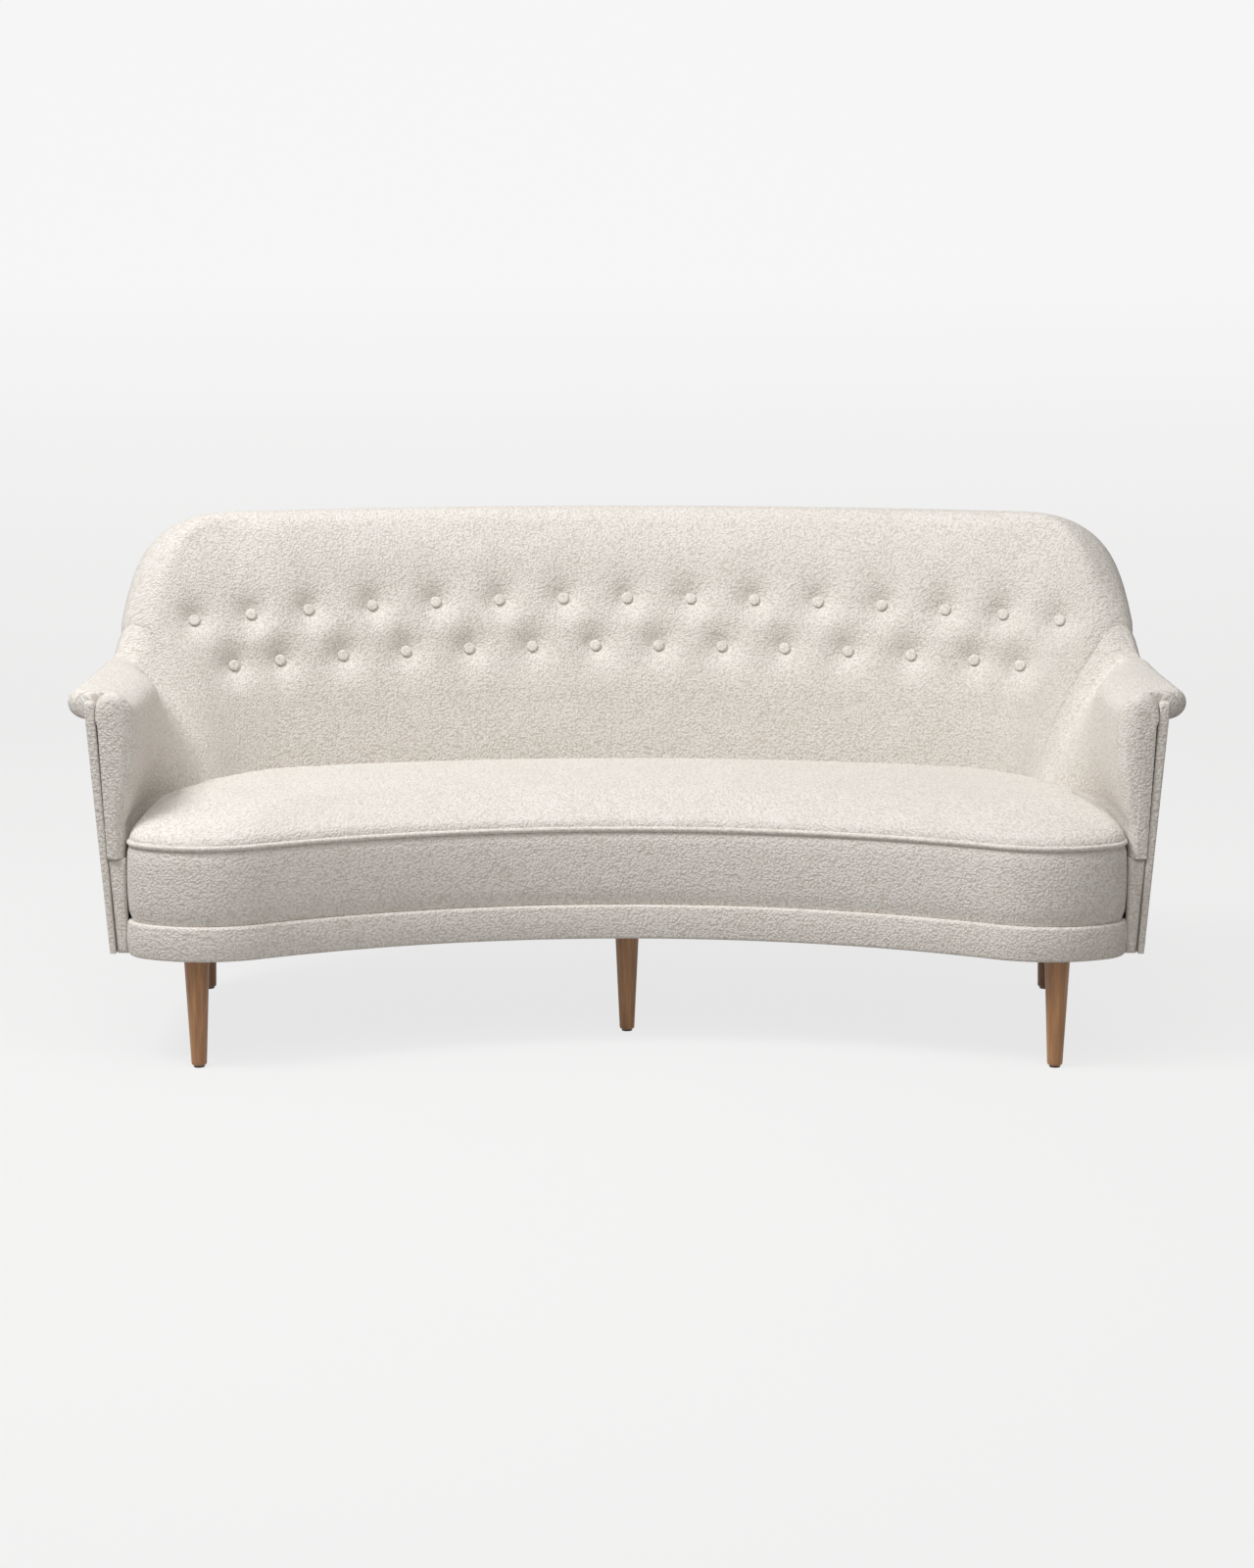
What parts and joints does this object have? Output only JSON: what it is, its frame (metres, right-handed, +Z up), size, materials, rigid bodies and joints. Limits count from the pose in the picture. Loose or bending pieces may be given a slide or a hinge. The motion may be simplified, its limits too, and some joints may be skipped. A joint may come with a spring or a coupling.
{
  "type": "sofa",
  "caption": "Curved upholstered sofa: hollow seat front with piping, wrap-around buttoned back that falls to rolled arms, tapered turned wooden legs.",
  "frame": {"origin": "on the floor under the middle of the overall box", "axes": "+X along the length, to the right as seen from the front; -Y to the front; +Z up"},
  "size_m": [1.8306, 0.8506, 0.8609],
  "materials": {
    "cover_fabric": "ivory woven linen with slubs",
    "leg_wood": "oiled walnut",
    "frame_wood": "planed beech",
    "seat_foam": "cut foam",
    "steel": "drawn wire and zinc plate",
    "jute": "woven jute",
    "twine": "waxed twine",
    "dust_cloth": "black lining cloth",
    "glide_plastic": "brown nylon"
  },
  "bodies": {
    "root": {"arm_front_pad_left": "cover_fabric", "arm_front_pad_right": "cover_fabric", "arm_front_post_left": "frame_wood", "arm_front_post_right": "frame_wood", "arm_pad_left": "cover_fabric", "arm_pad_right": "cover_fabric", "arm_rail_left": "frame_wood", "arm_rail_right": "frame_wood", "arm_rear_post_left": "frame_wood", "arm_rear_post_right": "frame_wood", "back_buttons": "cover_fabric", "back_middle_rails": "frame_wood", "back_pad": "cover_fabric", "back_post_inner_left": "frame_wood", "back_post_inner_right": "frame_wood", "back_post_outer_left": "frame_wood", "back_post_outer_right": "frame_wood", "back_top_rail": "frame_wood", "back_webbing": "jute", "base_band": "cover_fabric", "cross_rail_centre": "frame_wood", "cross_rail_left": "frame_wood", "cross_rail_right": "frame_wood", "dust_cover": "dust_cloth", "foot_glides": "glide_plastic", "front_rail": "frame_wood", "hessian_sheet": "jute", "leg_blocks": "frame_wood", "leg_bolts": "steel", "leg_front_centre": "leg_wood", "leg_front_left": "leg_wood", "leg_front_right": "leg_wood", "leg_rear_left": "leg_wood", "leg_rear_right": "leg_wood", "lower_arm_panel_left": "cover_fabric", "lower_arm_panel_right": "cover_fabric", "outside_arm_panel_left": "cover_fabric", "outside_arm_panel_right": "cover_fabric", "outside_back_panel": "cover_fabric", "rear_rail": "frame_wood", "seat_boxing": "cover_fabric", "seat_foam": "seat_foam", "seat_piping": "cover_fabric", "seat_springs": "steel", "seat_top_cover": "cover_fabric", "side_rail_left": "frame_wood", "side_rail_right": "frame_wood", "spring_clips": "steel", "tee_nuts": "steel", "tuft_twines": "twine", "wing_rail_left": "frame_wood", "wing_rail_right": "frame_wood"}
  },
  "joints": []
}
